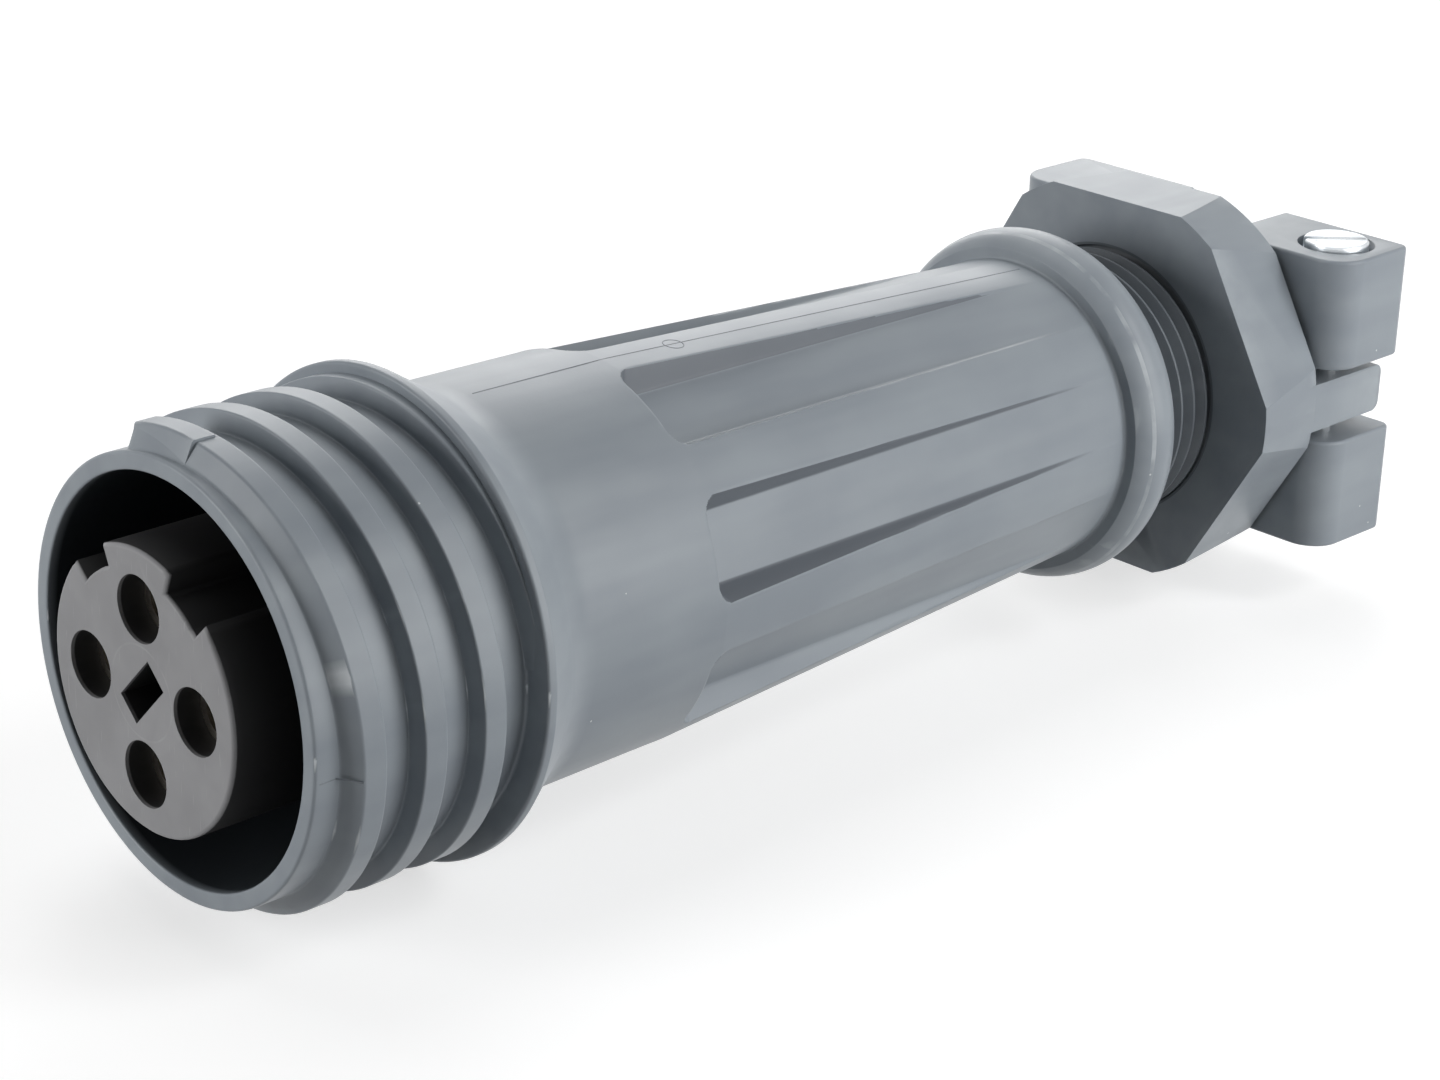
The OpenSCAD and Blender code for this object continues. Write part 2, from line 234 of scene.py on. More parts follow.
def moulded_plastic(name, dark, light, wear_and_highlight, roughness, inner_shade_mm, shade_colour, witness_mm=0.0, scuffed=0.0):
    """Satin injection moulding: pigment clouds, flow streaks, rubbed edges, dust, a painted highlight line,
    painted shade and a fine pebble.
    """
    material, tree = new_material(name)
    place = add(tree, "ShaderNodeTexCoord").outputs["Object"]
    # Pigment clouds about 9 mm across, and flow streaks 14 mm long and 2.2 mm wide
    clouds = add(tree, NOISE, {"Vector": place, "Scale": 1 / (9 * MM), "Detail": 3.0})
    along = add(tree, "ShaderNodeMapping", {"Vector": place, "Scale": (1 / 14, 1 / 2.2, 1 / 2.2)})
    streaks = add(tree, NOISE, {"Vector": along, "Scale": 1 / MM, "Detail": 2.0})
    blend = add(tree, MATH, {0: clouds, 1: streaks}, operation="ADD")
    blend = add(tree, SPREAD, {"Value": blend, "From Min": 0.8, "From Max": 1.2})
    colour = add(tree, MIX, {0: blend, 6: linear(dark), 7: linear(light)}, data_type="RGBA").outputs[2]

    # Place along the axis and off it, and the mating end
    depth = add(tree, "ShaderNodeSeparateXYZ", {"Vector": place}).outputs["X"]
    across = add(tree, "ShaderNodeMapping", {"Vector": place, "Scale": (0, 1, 1)})
    radius = add(tree, "ShaderNodeVectorMath", {0: across}, operation="LENGTH").outputs["Value"]
    ahead = add(tree, MATH, {0: depth, 1: MATING_END}, operation="LESS_THAN")

    # Convex edges rub lighter, most where they face the mating half, and unevenly
    patches = add(tree, NOISE, {"Vector": place, "Scale": 1 / (1.6 * MM), "Detail": 3.0})
    surface = add(tree, "ShaderNodeNewGeometry").outputs
    normal = surface["Normal"]
    edge = add(tree, SPREAD, {"Value": surface["Pointiness"], "From Min": 0.53, "From Max": 0.66})
    edge = add(tree, MATH, {0: edge, 1: patches}, operation="MULTIPLY")
    forward = add(tree, "ShaderNodeSeparateXYZ", {"Vector": normal}).outputs["X"]
    forward = add(tree, MATH, {0: forward, 1: -0.5, 2: 0.35}, operation="COMPARE")
    forward = add(tree, MATH, {0: forward, 1: ahead}, operation="MULTIPLY")
    forward = add(tree, SPREAD, {"Value": forward, "To Min": 0.3, "To Max": 1.6})
    edge = add(tree, MATH, {0: edge, 1: forward}, operation="MULTIPLY", use_clamp=True)
    colour = add(tree, MIX, {0: edge, 6: colour, 7: linear(wear_and_highlight)}, data_type="RGBA").outputs[2]

    # Some of the cells hold a speck of dust about a tenth of a millimetre across
    cells = add(tree, "ShaderNodeTexVoronoi", {"Vector": place, "Scale": 1 / (2.4 * MM)})
    speck = add(tree, MATH, {0: cells.outputs["Distance"], 1: 0.024}, operation="LESS_THAN")
    chosen = add(tree, MATH, {0: cells.outputs["Color"], 1: 0.62}, operation="GREATER_THAN")
    speck = add(tree, MATH, {0: speck, 1: chosen}, operation="MULTIPLY")
    colour = add(tree, MIX, {0: speck, 6: colour, 7: linear("#c9cccd")}, data_type="RGBA").outputs[2]

    # A painted highlight: a paler line round the bead's shoulder
    painted_highlight = add(tree, MATH, {0: depth, 1: HIGHLIGHT_LINE_X, 2: HIGHLIGHT_LINE_HALF_W}, operation="COMPARE")
    high = add(tree, MATH, {0: radius, 1: HIGHLIGHT_LINE_R}, operation="GREATER_THAN")
    painted_highlight = add(tree, MATH, {0: painted_highlight, 1: high}, operation="MULTIPLY")
    faint = add(tree, SPREAD, {"Value": patches, "From Min": 0.35, "From Max": 0.75, "To Max": 0.45})
    painted_highlight = add(tree, MATH, {0: painted_highlight, 1: faint}, operation="MULTIPLY")
    colour = add(tree, MIX, {0: painted_highlight, 6: colour, 7: linear(wear_and_highlight)}, data_type="RGBA").outputs[2]

    # Painted shade on the steep walls of the grip panels
    outwards = add(tree, "ShaderNodeVectorMath", {0: across}, operation="NORMALIZE")
    facing = add(tree, "ShaderNodeVectorMath", {
        0: outwards, 1: normal}, operation="DOT_PRODUCT").outputs["Value"]
    painted_wall_shade = add(tree, SPREAD, {"Value": facing, "From Min": 0.95, "From Max": 0.75, "To Max": 0.8})
    panels = add(tree, MATH, {0: depth, 1: PANELS_MIDDLE, 2: PANELS_HALF_L}, operation="COMPARE")
    painted_wall_shade = add(tree, MATH, {0: painted_wall_shade, 1: panels}, operation="MULTIPLY")
    # Walls that face up on the top, and all those low down, get no painted shade
    height = add(tree, "ShaderNodeSeparateXYZ", {"Vector": place}).outputs["Z"]
    upward = add(tree, "ShaderNodeSeparateXYZ", {"Vector": normal}).outputs["Z"]
    upward = add(tree, MATH, {0: upward, 1: 0.6}, operation="GREATER_THAN")
    on_top = add(tree, MATH, {0: height, 1: SHADE_OFF_ABOVE}, operation="GREATER_THAN")
    below = add(tree, MATH, {0: height, 1: SHADE_OFF_BELOW}, operation="LESS_THAN")
    shade_left_off = add(tree, MATH, {0: upward, 1: on_top}, operation="MULTIPLY")
    shade_left_off = add(tree, MATH, {0: shade_left_off, 1: below}, operation="MAXIMUM")
    painted_wall_shade = add(tree, SPREAD, {"Value": shade_left_off, "To Min": painted_wall_shade, "To Max": 0.0})
    colour = add(tree, MIX, {0: painted_wall_shade, 6: colour, 7: linear("#565b62")}, data_type="RGBA").outputs[2]

    # Painted shade in the gland thread, between bead and nut
    painted_groove_shade = add(tree, MATH, {0: depth, 1: GROOVE_MIDDLE, 2: GROOVE_HALF_L}, operation="COMPARE")
    low = add(tree, MATH, {0: radius, 1: GROOVE_R}, operation="LESS_THAN")
    painted_groove_shade = add(tree, MATH, {0: painted_groove_shade, 1: low}, operation="MULTIPLY")
    painted_groove_shade = add(tree, MATH, {0: painted_groove_shade, 1: 0.5}, operation="MULTIPLY")
    colour = add(tree, MIX, {0: painted_groove_shade, 6: colour, 7: linear(shade_colour)}, data_type="RGBA").outputs[2]

    if witness_mm:
        # A ring left on the face by the mould's centre core, mostly rubbed away
        near = add(tree, MATH, {0: radius, 1: witness_mm * MM, 2: WITNESS_HALF_W}, operation="COMPARE")
        near = add(tree, MATH, {0: near, 1: faint}, operation="MULTIPLY")
        colour = add(tree, MIX, {0: near, 6: colour, 7: linear(wear_and_highlight)}, data_type="RGBA").outputs[2]
    if scuffed:
        # Hair scratches from plugging, about 0.1 mm wide and 1.7 mm long
        slant = add(tree, "ShaderNodeMapping", {
            "Vector": place, "Rotation": (0.6, 0, 0), "Scale": (1 / 0.5, 1 / 0.11, 1 / 1.7)})
        hairs = add(tree, NOISE, {"Vector": slant, "Scale": 1 / MM, "Detail": 1.0})
        hairs = add(tree, SPREAD, {"Value": hairs, "From Min": 0.68, "From Max": 0.74, "To Max": scuffed})
        colour = add(tree, MIX, {0: hairs, 6: colour, 7: linear(wear_and_highlight)}, data_type="RGBA").outputs[2]

    # Painted shade behind the mating face, out to the given radius
    reach_mm, start_mm, full_mm = inner_shade_mm
    painted_inner_shade = add(tree, SPREAD, {"Value": depth, "From Min": start_mm * MM, "From Max": full_mm * MM})
    inside = add(tree, MATH, {0: radius, 1: reach_mm * MM}, operation="LESS_THAN")
    painted_inner_shade = add(tree, MATH, {0: painted_inner_shade, 1: ahead}, operation="MULTIPLY")
    painted_inner_shade = add(tree, MATH, {0: painted_inner_shade, 1: inside}, operation="MULTIPLY")
    colour = add(tree, MIX, {0: painted_inner_shade, 6: colour, 7: linear(shade_colour)}, data_type="RGBA").outputs[2]

    # Uneven gloss, shallow sink marks about 6 mm across, and the tool's blasted grain.
    # The real grain is finer than 0.3 mm; it is drawn that coarse so that it shows
    sheen = add(tree, NOISE, {"Vector": place, "Scale": 1 / (4 * MM), "Detail": 2.0})
    rough = add(tree, SPREAD, {"Value": sheen, "To Min": roughness - 0.06, "To Max": roughness + 0.06})
    pebble = add(tree, NOISE, {"Vector": place, "Scale": 1 / (0.3 * MM), "Detail": 2.0})
    bump = add(tree, "ShaderNodeBump", {"Height": pebble, "Strength": 0.1, "Distance": 0.02 * MM})
    sinks = add(tree, NOISE, {"Vector": place, "Scale": 1 / (6 * MM), "Detail": 1.0})
    bump = add(tree, "ShaderNodeBump", {
        "Height": sinks, "Strength": 0.35, "Distance": 0.25 * MM, "Normal": bump})
    shader = add(tree, "ShaderNodeBsdfPrincipled", {
        "Base Color": colour, "Roughness": rough, "Normal": bump, "IOR": 1.53, "Specular IOR Level": 0.28})
    add(tree, "ShaderNodeOutputMaterial", {"Surface": shader})
    return material


def bright_metal(name, dark, light, roughness, line_mm):
    """Plated metal: tool lines along Y, drawn coarse enough to show, and a slightly uneven gloss."""
    material, tree = new_material(name)
    place = add(tree, "ShaderNodeTexCoord").outputs["Object"]
    drawn = add(tree, "ShaderNodeMapping", {
        "Vector": place, "Scale": (1 / line_mm, 1 / (6 * line_mm), 1 / line_mm)})
    lines = add(tree, NOISE, {"Vector": drawn, "Scale": 1 / MM, "Detail": 2.0})
    clouds = add(tree, NOISE, {"Vector": place, "Scale": 1 / (1.2 * MM), "Detail": 2.0})
    colour = add(tree, MIX, {0: lines, 6: linear(dark), 7: linear(light)}, data_type="RGBA").outputs[2]
    rough = add(tree, SPREAD, {"Value": clouds, "To Min": roughness - 0.07, "To Max": roughness + 0.07})
    bump = add(tree, "ShaderNodeBump", {"Height": lines, "Strength": 0.15, "Distance": 0.01 * MM})
    shader = add(tree, "ShaderNodeBsdfPrincipled", {
        "Base Color": colour, "Metallic": 1.0, "Roughness": rough, "Normal": bump})
    add(tree, "ShaderNodeOutputMaterial", {"Surface": shader})
    return material


def matt_mix(name, dark, light, roughness, cloud_mm, grain_mm, ior):
    """Plain soft surface: two shades in clouds with a fine grain."""
    material, tree = new_material(name)
    place = add(tree, "ShaderNodeTexCoord").outputs["Object"]
    clouds = add(tree, NOISE, {"Vector": place, "Scale": 1 / (cloud_mm * MM), "Detail": 3.0})
    colour = add(tree, MIX, {0: clouds, 6: linear(dark), 7: linear(light)}, data_type="RGBA").outputs[2]
    grain = add(tree, NOISE, {"Vector": place, "Scale": 1 / (grain_mm * MM), "Detail": 2.0})
    rough = add(tree, SPREAD, {"Value": grain, "To Min": roughness - 0.05, "To Max": roughness + 0.05})
    bump = add(tree, "ShaderNodeBump", {"Height": grain, "Strength": 0.15, "Distance": 0.02 * MM})
    shader = add(tree, "ShaderNodeBsdfPrincipled", {
        "Base Color": colour, "Roughness": rough, "Normal": bump, "IOR": ior})
    add(tree, "ShaderNodeOutputMaterial", {"Surface": shader})
    return material


# Blue-grey glass-filled polyamide, moulded in a lightly blasted tool: a soft sheen and slightly cloudy grey
grey_plastic = moulded_plastic(
    "moulded_grey_polyamide", "#828990", "#8c9399", "#cfd4d7", 0.38, BORE_SHADE, "#2b2f33")
# The same polyamide where two mould halves meet, painted darker as the shade of the fine step there, so it
# reads as a dark line
seam_plastic = moulded_plastic(
    "flash_line_polyamide", "#62686f", "#71777d", "#80868c", 0.5, BORE_SHADE, "#2b2f33")
# Neutral dark polyester of the contact carrier: duller than the housing, scuffed by plugging
insert_plastic = moulded_plastic(
    "moulded_dark_polyester", "#838385", "#8c8c8e", "#a6a6a8", 0.5, INSERT_SHADE, "#202021",
    witness_mm=2.35, scuffed=0.35)
# Silver-plated turned brass: warm white glints inside the holes
contact_metal = bright_metal("silver_plated_brass", "#b9b2a6", "#d8d3c9", 0.3, 0.12)
# Bright zinc on turned steel: a white, faintly blue shine
screw_metal = bright_metal("zinc_plated_steel", "#c2c7cb", "#e2e6e9", 0.3, 0.1)
# Moulded nitrile rubber: near black with a grey bloom
seal_rubber = matt_mix("moulded_nitrile_rubber", "#1b1b1d", "#2b2b2e", 0.75, 3.0, 0.3, 1.52)
# Natural acetal of the slip washer: milky white, smooth
washer_plastic = matt_mix("turned_white_acetal", "#c9cbca", "#dcdedc", 0.4, 5.0, 0.4, 1.48)

FINISHES = {
    "moulded_plastic": grey_plastic, "insert_plastic": insert_plastic, "contact_metal": contact_metal,
    "screw_steel": screw_metal, "seal_rubber": seal_rubber, "washer_plastic": washer_plastic}
for subpart in frame["record"]["subparts"]:
    nodes[subpart["node"]].data.materials.clear()
    nodes[subpart["node"]].data.materials.append(FINISHES[subpart["material_slot"]])


# Pieces: a mesh runs through a geometry tree, or a copy of a CAD node gets its edges rounded

CREASE = math.radians(38)
WELD = 0.0005 * MM


def new_shape_tree(name, sizes):
    """A geometry tree with a mesh input, one named input for each size, and its group input node."""
    tree = bpy.data.node_groups.new(name, "GeometryNodeTree")
    tree.interface.new_socket("Mesh", in_out="INPUT", socket_type="NodeSocketGeometry")
    for label, kind in sizes.items():
        tree.interface.new_socket(label, in_out="INPUT", socket_type="NodeSocket" + kind)
    tree.interface.new_socket("Mesh", in_out="OUTPUT", socket_type="NodeSocketGeometry")
    return tree, add(tree, "NodeGroupInput").outputs


def finish_tree(tree, mesh, material):
    """Ends a geometry tree: real smooth mesh in one material."""
    real = add(tree, "GeometryNodeRealizeInstances", {"Geometry": mesh})
    joined = add(tree, "GeometryNodeMergeByDistance", {"Geometry": real, "Distance": WELD})
    smooth = add(tree, "GeometryNodeSetShadeSmooth", {"Geometry": joined})
    bend = add(tree, "GeometryNodeInputMeshEdgeAngle").outputs["Unsigned Angle"]
    crease = add(tree, MATH, {0: bend, 1: CREASE}, operation="GREATER_THAN")
    smooth = add(tree, "GeometryNodeSetShadeSmooth", {
        "Geometry": smooth, "Selection": crease, "Shade Smooth": False}, domain="EDGE")
    painted = add(tree, "GeometryNodeSetMaterial", {"Geometry": smooth, "Material": material})
    add(tree, "NodeGroupOutput", {"Mesh": painted})


def settled(name, mesh, tree=None, sizes=None):
    """Keeps a mesh as a plain object, after its geometry tree if it has one, with the flats shaded flat."""
    holder = bpy.data.objects.new(name + "_source", mesh)
    scene.collection.objects.link(holder)
    if tree:
        modifier = holder.modifiers.new(name, "NODES")
        modifier.node_group = tree
        for socket in tree.interface.items_tree:
            if socket.in_out == "INPUT" and socket.name in sizes:
                modifier[socket.identifier] = sizes[socket.name]
    else:
        mesh.shade_smooth()
        mesh.set_sharp_from_angle(angle=CREASE)
    holder.modifiers.new("flat_flats", "WEIGHTED_NORMAL").keep_sharp = True
    made = bpy.data.meshes.new_from_object(holder.evaluated_get(bpy.context.evaluated_depsgraph_get()))
    bpy.data.objects.remove(holder)
    made.name = name
    piece = bpy.data.objects.new(name, made)
    scene.collection.objects.link(piece)
    return piece


def rounded_outline(corners, arc_steps=5, support=0.12 * MM, span=1.5 * MM):
    """Closed (x, r) outline with rounded corners, and a row close beside each rounding to hold the flats."""
    points = []
    for i, (x, r, fillet) in enumerate(corners):
        here = Vector((x, r))
        before = Vector(corners[i - 1][:2]) - here
        after = Vector(corners[(i + 1) % len(corners)][:2]) - here
        if not fillet:
            points.append(here)
            continue
        half = before.angle(after) / 2
        tangent = fillet / math.tan(half)
        middle = here + (before.normalized() + after.normalized()).normalized() * fillet / math.sin(half)
        start = here + before.normalized() * tangent
        end = here + after.normalized() * tangent
        sweep = (start - middle).angle_signed(end - middle)
        if before.length > tangent + 3 * support:
            points.append(start + before.normalized() * support)
        for step in range(arc_steps + 1):
            turn = Matrix.Rotation(-sweep * step / arc_steps, 2)
            points.append(middle + turn @ (start - middle))
        if after.length > tangent + 3 * support:
            points.append(end + after.normalized() * support)
    rows = []
    for i, here in enumerate(points):
        there = points[(i + 1) % len(points)]
        parts = max(1, math.ceil((there - here).length / span))
        rows += [here.lerp(there, step / parts) for step in range(parts)]
    return rows


def soft_min(a, b, blend):
    """Smaller of two lengths, with a rounded change-over."""
    mix = max(0.0, min(1.0, 0.5 + 0.5 * (b - a) / blend))
    return b + (a - b) * mix - blend * mix * (1 - mix)


def soft_max(a, b, blend):
    """Larger of two lengths, with a rounded change-over."""
    return -soft_min(-a, -b, blend)


# Housing shell: one eighth with its sunk panel, turned into the ring of eight

SECTOR = math.pi / PANEL_N
TAPER = (BARREL_R - REAR_R) / (TAPER_END_X - TAPER_X)
BEAD_FOOT_R = BARREL_R - TAPER * (BEAD_FOOT_X - TAPER_X)


def panel_radius(x, land, across):
    """Radius of the barrel at a length and an angle from the panel's middle: its land, wall or floor."""
    depth = PANEL_FLOOR - PANEL_DRAFT * (x - PANEL_X)
    side = abs(across)
    floor_r = depth / math.cos(side)
    wall_r = (depth - PANEL_FLOOR_W / 2 / PANEL_SLOPE) / (math.cos(side) - math.sin(side) / PANEL_SLOPE)
    ahead = x - PANEL_X - PANEL_CORNER
    aside = land * math.sin(side) - PANEL_PLAN_W / 2 + PANEL_CORNER
    if ahead < 0 and aside > 0:
        inside = PANEL_CORNER - math.hypot(ahead, aside)
    else:
        inside = x - PANEL_X
    front_r = land - inside / PANEL_FRONT_SLOPE
    sunk = soft_max(soft_max(floor_r, wall_r, PANEL_EDGE), front_r, PANEL_EDGE)
    return soft_min(land, sunk, PANEL_EDGE)


def panel_columns(x):
    """Angles of the mesh columns on one side of the panel's middle, close together at both of its edges."""
    x = min(max(x, PANEL_X), BEAD_FOOT_X)
    land = min(BARREL_R, BARREL_R - TAPER * (x - TAPER_X))
    depth = PANEL_FLOOR - PANEL_DRAFT * (x - PANEL_X)
    floor_edge = math.atan(PANEL_FLOOR_W / 2 / depth)
    reach = (PANEL_SLOPE * depth - PANEL_FLOOR_W / 2) / (land * math.hypot(1, PANEL_SLOPE))
    land_edge = max(math.acos(reach) - math.atan(1 / PANEL_SLOPE), floor_edge + math.radians(2.2))
    near = math.radians(1.0)
    angles = [(floor_edge - near) * i / 5 for i in range(5)]
    angles += [floor_edge - near + near * 2 * i / 4 for i in range(5)]
    gap = land_edge - near - floor_edge - near
    angles += [floor_edge + near + gap * i / 3 for i in range(1, 3)]
    angles += [land_edge - near + near * 2 * i / 4 for i in range(5)]
    angles += [land_edge + near + (SECTOR - land_edge - near) * i / 4 for i in range(1, 5)]
    return angles


def sector_mesh():
    """One eighth of the housing's closed shell, centred on the first panel."""
    corners = [
        (0, BORE_R, BORE_EDGE), (0, COLLAR_R, LIP_EDGE), (FLANGE_X, COLLAR_R, FLANGE_FOOT),
        (FLANGE_X, FLANGE_R, FLANGE_EDGE), (FLANGE_X + FLANGE_LAND, FLANGE_R, CONE_EDGE),
        (FLANGE_X + FLANGE_LAND + CONE_L, CONE_FOOT_R, CONE_HOLLOW), (PANEL_X - 0.6 * MM, BARREL_R, 0)]
    corners += [(PANEL_X + step * ROW_STEP, BARREL_R, 0) for step in range(-7, 6)]
    corners += [(TAPER_X + step * ROW_STEP, BARREL_R - TAPER * step * ROW_STEP, 0) for step in range(18)]
    corners.append((BEAD_FOOT_X, BEAD_FOOT_R, BEAD_FOOT))
    first = math.asin((BEAD_FOOT_X + BEAD_ARC_AFTER_FOOT - BEAD_X) / BEAD_ARC)
    last = math.asin((BEAD_BACK_X - BEAD_X) / BEAD_ARC)
    for step in range(BEAD_STEPS + 1):
        lean = first + (last - first) * step / BEAD_STEPS
        edge = BEAD_EDGE if step in (0, BEAD_STEPS) else 0
        corners.append((BEAD_X + BEAD_ARC * math.sin(lean), BEAD_R - BEAD_ARC * (1 - math.cos(lean)), edge))
    corners += [
        (BEAD_BACK_X + BEAD_BACK_DRAFT, REAR_R, REAR_EDGE), (BEAD_END, REAR_R, REAR_EDGE),
        (BEAD_END, SEAL_R, REAR_EDGE), (SEAL_X, SEAL_R, 0), (SEAL_X, NECK_R, 0), (CHAMBER_END, NECK_R, 0),
        (CHAMBER_END, CHAMBER_R, CHAMBER_REAR), (CHAMBER_X, CHAMBER_R, CHAMBER_FRONT),
        (CHAMBER_X, PARTITION_R, 0), (CAVITY_END, PARTITION_R, PARTITION_EDGE),
        (CAVITY_END, BORE_R, CAVITY_CORNER)]
    rows = rounded_outline(corners)
    half = len(panel_columns(PANEL_X))
    columns = 2 * half - 1
    points, faces = [], []
    for x, r in rows:
        # Rows of the chamber lie at the same lengths, but nearer the axis
        on_barrel = PANEL_X - 0.7 * MM < x < BEAD_FOOT_X - 0.3 * MM and r > REAR_R - 0.2 * MM
        angles = panel_columns(x)
        angles = [-a for a in reversed(angles[1:])] + angles
        for across in angles:
            here = panel_radius(x, r, across) if on_barrel else r
            theta = math.radians(PANEL_FIRST) + across
            points.append((x, -here * math.cos(theta), here * math.sin(theta)))
    for row in range(len(rows)):
        below, above = row * columns, (row + 1) % len(rows) * columns
        for column in range(columns - 1):
            faces.append((below + column, above + column, above + column + 1, below + column + 1))
    mesh = bpy.data.meshes.new("housing_sector")
    mesh.from_pydata(points, [], faces)
    return mesh


ring_tree, given = new_shape_tree("ring_of_sectors", {"Count": "Int", "Material": "Material"})
spots = add(ring_tree, "GeometryNodeMeshLine", {"Count": given["Count"], "Offset": (0, 0, 0)})
step = add(ring_tree, MATH, {0: 2 * math.pi, 1: given["Count"]}, operation="DIVIDE")
turn = add(ring_tree, MATH, {0: add(ring_tree, "GeometryNodeInputIndex"), 1: step}, operation="MULTIPLY")
turn = add(ring_tree, "ShaderNodeCombineXYZ", {"X": turn})
ring = add(ring_tree, "GeometryNodeInstanceOnPoints", {
    "Points": spots, "Instance": given["Mesh"], "Rotation": turn})
finish_tree(ring_tree, ring, given["Material"])

shell = settled("housing_shell", sector_mesh(), ring_tree, {"Count": PANEL_N, "Material": grey_plastic})
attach(shell, "housing")
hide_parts("housing")


# Ridges that wind round the axis: coupling thread, its start block and the gland thread

ridge_tree, given = new_shape_tree("wound_ridge", {
    "Root radius": "Float", "Height": "Float", "Turns": "Float", "Pitch": "Float", "Start turn": "Float",
    "Start x": "Float", "Stop x": "Float", "First flank": "Float", "Material": "Material"})
rise = add(ridge_tree, MATH, {0: given["Turns"], 1: given["Pitch"]}, operation="MULTIPLY")
path = add(ridge_tree, "GeometryNodeCurveSpiral", {
    "Resolution": 144, "Rotations": given["Turns"], "Start Radius": given["Root radius"],
    "End Radius": given["Root radius"], "Height": rise, "Reverse": True})
path = add(ridge_tree, "GeometryNodeSetCurveNormal", {"Curve": path}, mode="Z_UP")
share = add(ridge_tree, "GeometryNodeSplineParameter").outputs["Factor"]
reached = add(ridge_tree, MATH, {0: share, 1: given["Turns"]}, operation="MULTIPLY")
path = add(ridge_tree, "GeometryNodeStoreNamedAttribute", {
    "Geometry": path, "Name": "turn", "Value": reached}, data_type="FLOAT")
section = add(ridge_tree, "GeometryNodeStoreNamedAttribute", {
    "Geometry": add(ridge_tree, "GeometryNodeMeshToCurve", {"Mesh": given["Mesh"]}), "Name": "section",
    "Value": add(ridge_tree, "GeometryNodeInputPosition")}, data_type="FLOAT_VECTOR")
ridge = add(ridge_tree, "GeometryNodeCurveToMesh", {
    "Curve": path, "Profile Curve": section, "Fill Caps": True})

# In the section, X points outwards and -Y along the axis.
# The front flank of the first turn is longer; it leans less and less over the next half turn
spot = add(ridge_tree, "ShaderNodeSeparateXYZ", {"Vector": add(
    ridge_tree, "GeometryNodeInputNamedAttribute", {"Name": "section"}, data_type="FLOAT_VECTOR")})
in_front = add(ridge_tree, MATH, {0: spot.outputs["Y"], 1: 0.0}, operation="GREATER_THAN")
low = add(ridge_tree, SPREAD, {
    "Value": spot.outputs["X"], "From Min": 0.0, "From Max": given["Height"], "To Min": 1.0, "To Max": 0.0})
turn = add(ridge_tree, "GeometryNodeInputNamedAttribute", {"Name": "turn"}, data_type="FLOAT")
early = add(ridge_tree, SPREAD, {
    "Value": turn, "From Min": 0.6, "From Max": 1.1, "To Min": 1.0, "To Max": 0.0},
    interpolation_type="SMOOTHSTEP")
lean = add(ridge_tree, MATH, {0: in_front, 1: low}, operation="MULTIPLY")
lean = add(ridge_tree, MATH, {0: lean, 1: early}, operation="MULTIPLY")
lean = add(ridge_tree, MATH, {0: lean, 1: given["First flank"]}, operation="MULTIPLY")
lean = add(ridge_tree, MATH, {0: lean, 1: -1.0}, operation="MULTIPLY")
ridge = add(ridge_tree, "GeometryNodeSetPosition", {
    "Geometry": ridge, "Offset": add(ridge_tree, "ShaderNodeCombineXYZ", {"Z": lean})})

# From upright to along X, turned to its start angle, and cut off where the flange begins
ridge = add(ridge_tree, "GeometryNodeTransform", {"Geometry": ridge, "Rotation": (0, math.pi / 2, 0)})
ridge = add(ridge_tree, "GeometryNodeTransform", {
    "Geometry": ridge, "Rotation": add(ridge_tree, "ShaderNodeCombineXYZ", {"X": given["Start turn"]}),
    "Translation": add(ridge_tree, "ShaderNodeCombineXYZ", {"X": given["Start x"]})})
spot = add(ridge_tree, "ShaderNodeSeparateXYZ", {"Vector": add(ridge_tree, "GeometryNodeInputPosition")})
held = add(ridge_tree, MATH, {0: spot.outputs["X"], 1: given["Stop x"]}, operation="MINIMUM")
held = add(ridge_tree, "ShaderNodeCombineXYZ", {"X": held, "Y": spot.outputs["Y"], "Z": spot.outputs["Z"]})
ridge = add(ridge_tree, "GeometryNodeSetPosition", {"Geometry": ridge, "Position": held})
ridge = add(ridge_tree, "GeometryNodeFlipFaces", {"Mesh": ridge})
finish_tree(ridge_tree, ridge, given["Material"])

SINK = 0.2 * MM
SKIN = 0.01 * MM


def wound_ridge(name, crest_r, root_r, crest, flank, edge, fillet, turns, pitch, start, start_x, stop_x,
                first_flank=0.0):
    """A ridge from its start angle onwards: rounded crest edges, flanks that sweep out into the root."""
    height = crest_r - root_r
    foot = crest / 2 + flank
    skirt = foot + 1.2 * fillet
    outline = rounded_outline([
        (-skirt, -SINK, 0), (-skirt, -SKIN, 0), (-foot, -SKIN, fillet), (-crest / 2, height, edge),
        (crest / 2, height, edge), (foot, -SKIN, fillet), (skirt, -SKIN, 0), (skirt, -SINK, 0)],
        arc_steps=4, support=0.05 * MM, span=2 * MM)
    section_mesh = bpy.data.meshes.new(name + "_section")
    count = len(outline)
    section_mesh.from_pydata(
        [(v, -u, 0) for u, v in outline], [(i, (i + 1) % count) for i in range(count)], [])
    return settled(name, section_mesh, ridge_tree, {
        "Root radius": root_r, "Height": height, "Turns": turns, "Pitch": pitch,
        "Start turn": math.radians(270 - start), "Start x": start_x, "Stop x": stop_x,
        "First flank": first_flank, "Material": grey_plastic})


